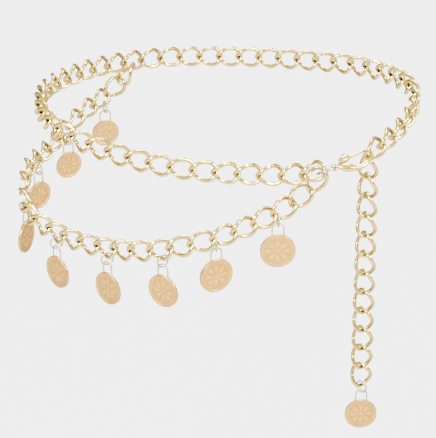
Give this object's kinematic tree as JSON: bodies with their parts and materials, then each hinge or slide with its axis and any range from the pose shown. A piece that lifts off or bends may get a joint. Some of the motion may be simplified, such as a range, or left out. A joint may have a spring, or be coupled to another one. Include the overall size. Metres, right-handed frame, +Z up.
{
  "type": "waist chain",
  "caption": "Curb link waist chain, fastened and worn-shaped, with a second chain swagged over one hip, hanging coins, a lobster clasp and a hanging end.",
  "frame": {"origin": "middle of the waist loop, level with its middle height, where the wearer's waist goes through", "axes": "+Z up, -Y towards the wearer's front, +X towards the wearer's left"},
  "size_m": [0.2484, 0.2079, 0.2097],
  "materials": {
    "yellow-gold": "polished gold plate",
    "pale-gold": "polished pale gold wire",
    "rose-gold": "satin rose gold plate"
  },
  "bodies": {
    "chain": {"waist-links-01": "yellow-gold", "waist-links-02": "yellow-gold", "waist-links-03": "yellow-gold", "waist-links-04": "yellow-gold", "waist-links-05": "yellow-gold", "waist-links-06": "yellow-gold", "waist-links-07": "yellow-gold", "waist-links-08": "yellow-gold", "waist-links-09": "yellow-gold", "waist-links-10": "yellow-gold", "waist-links-11": "yellow-gold", "waist-links-12": "yellow-gold", "waist-links-13": "yellow-gold", "waist-links-14": "yellow-gold", "waist-links-15": "yellow-gold", "waist-links-16": "yellow-gold", "waist-links-17": "yellow-gold", "swag-links-01": "yellow-gold", "swag-links-02": "yellow-gold", "swag-links-03": "yellow-gold", "swag-links-04": "yellow-gold", "swag-links-05": "yellow-gold", "swag-links-06": "yellow-gold", "swag-links-07": "yellow-gold", "swag-links-08": "yellow-gold", "swag-links-09": "yellow-gold", "swag-links-10": "yellow-gold", "end-links-01": "yellow-gold", "end-links-02": "yellow-gold", "end-links-03": "yellow-gold", "end-links-04": "yellow-gold", "junction-ring": "pale-gold", "clasp-body": "yellow-gold", "clasp-lever": "yellow-gold"},
    "jump-ring-01": {"jump-ring-01": "pale-gold"},
    "coin-01": {"coin-01": "rose-gold"},
    "jump-ring-02": {"jump-ring-02": "pale-gold"},
    "coin-02": {"coin-02": "rose-gold"},
    "jump-ring-03": {"jump-ring-03": "pale-gold"},
    "coin-03": {"coin-03": "rose-gold"},
    "jump-ring-04": {"jump-ring-04": "pale-gold"},
    "coin-04": {"coin-04": "rose-gold"},
    "jump-ring-05": {"jump-ring-05": "pale-gold"},
    "coin-05": {"coin-05": "rose-gold"},
    "jump-ring-06": {"jump-ring-06": "pale-gold"},
    "coin-06": {"coin-06": "rose-gold"},
    "jump-ring-07": {"jump-ring-07": "pale-gold"},
    "coin-07": {"coin-07": "rose-gold"},
    "jump-ring-08": {"jump-ring-08": "pale-gold"},
    "coin-08": {"coin-08": "rose-gold"},
    "jump-ring-09": {"jump-ring-09": "pale-gold"},
    "coin-09": {"coin-09": "rose-gold"},
    "jump-ring-10": {"jump-ring-10": "pale-gold"},
    "coin-10": {"coin-10": "rose-gold"}
  },
  "joints": [
    {"name": "ring-swing-01", "type": "hinge", "parent": "chain", "child": "jump-ring-01", "pos_m": [-0.08031, 0.07938, -0.03508], "axis": [-0.95, -0.3124, 0], "range_deg": [-60, 60]},
    {"name": "coin-swing-01", "type": "hinge", "parent": "jump-ring-01", "child": "coin-01", "pos_m": [-0.08031, 0.07938, -0.04028], "axis": [-0.3124, 0.95, 0], "range_deg": [-30, 30]},
    {"name": "ring-swing-02", "type": "hinge", "parent": "chain", "child": "jump-ring-02", "pos_m": [-0.10298, 0.04909, -0.04407], "axis": [-0.8456, -0.5338, 0], "range_deg": [-60, 60]},
    {"name": "coin-swing-02", "type": "hinge", "parent": "jump-ring-02", "child": "coin-02", "pos_m": [-0.10298, 0.04909, -0.04927], "axis": [-0.5338, 0.8456, 0], "range_deg": [-30, 30]},
    {"name": "ring-swing-03", "type": "hinge", "parent": "chain", "child": "jump-ring-03", "pos_m": [-0.11985, 0.01292, -0.04819], "axis": [-0.7168, -0.6973, 0], "range_deg": [-60, 60]},
    {"name": "coin-swing-03", "type": "hinge", "parent": "jump-ring-03", "child": "coin-03", "pos_m": [-0.11985, 0.01292, -0.05339], "axis": [-0.6973, 0.7168, 0], "range_deg": [-30, 30]},
    {"name": "ring-swing-04", "type": "hinge", "parent": "chain", "child": "jump-ring-04", "pos_m": [-0.12557, -0.02351, -0.0573], "axis": [-0.3605, -0.9327, 0], "range_deg": [-60, 45]},
    {"name": "coin-swing-04", "type": "hinge", "parent": "jump-ring-04", "child": "coin-04", "pos_m": [-0.12557, -0.02351, -0.0625], "axis": [-0.9327, 0.3605, 0], "range_deg": [-30, 30]},
    {"name": "ring-swing-05", "type": "hinge", "parent": "chain", "child": "jump-ring-05", "pos_m": [-0.10413, -0.05631, -0.06479], "axis": [0.3108, -0.9505, 0], "range_deg": [-60, 60]},
    {"name": "coin-swing-05", "type": "hinge", "parent": "jump-ring-05", "child": "coin-05", "pos_m": [-0.10413, -0.05631, -0.06999], "axis": [-0.9505, -0.3108, 0], "range_deg": [-30, 30]},
    {"name": "ring-swing-06", "type": "hinge", "parent": "chain", "child": "jump-ring-06", "pos_m": [-0.0721, -0.08056, -0.06304], "axis": [0.4121, -0.9111, 0], "range_deg": [-60, 60]},
    {"name": "coin-swing-06", "type": "hinge", "parent": "jump-ring-06", "child": "coin-06", "pos_m": [-0.0721, -0.08056, -0.06824], "axis": [-0.9111, -0.4121, 0], "range_deg": [-30, 30]},
    {"name": "ring-swing-07", "type": "hinge", "parent": "chain", "child": "jump-ring-07", "pos_m": [-0.03838, -0.09982, -0.05425], "axis": [0.638, -0.7701, 0], "range_deg": [-60, 60]},
    {"name": "coin-swing-07", "type": "hinge", "parent": "jump-ring-07", "child": "coin-07", "pos_m": [-0.03838, -0.09982, -0.05945], "axis": [-0.7701, -0.638, 0], "range_deg": [-30, 30]},
    {"name": "ring-swing-08", "type": "hinge", "parent": "chain", "child": "jump-ring-08", "pos_m": [-0.00695, -0.10118, -0.04276], "axis": [0.9989, 0.0462, 0], "range_deg": [-30, 60]},
    {"name": "coin-swing-08", "type": "hinge", "parent": "jump-ring-08", "child": "coin-08", "pos_m": [-0.00695, -0.10118, -0.04795], "axis": [0.0462, -0.9989, 0], "range_deg": [-30, 30]},
    {"name": "ring-swing-09", "type": "hinge", "parent": "chain", "child": "jump-ring-09", "pos_m": [0.02949, -0.08958, -0.03248], "axis": [0.9977, 0.0684, 0], "range_deg": [-45, 60]},
    {"name": "coin-swing-09", "type": "hinge", "parent": "jump-ring-09", "child": "coin-09", "pos_m": [0.02949, -0.08958, -0.03768], "axis": [0.0684, -0.9977, 0], "range_deg": [-30, 30]},
    {"name": "ring-swing-10", "type": "hinge", "parent": "chain", "child": "jump-ring-10", "pos_m": [0.08395, -0.06343, -0.16279], "axis": [0.7135, 0.7006, 0], "range_deg": [-60, 60]},
    {"name": "coin-swing-10", "type": "hinge", "parent": "jump-ring-10", "child": "coin-10", "pos_m": [0.08395, -0.06343, -0.16799], "axis": [0.7006, -0.7135, 0], "range_deg": [-30, 30]}
  ]
}
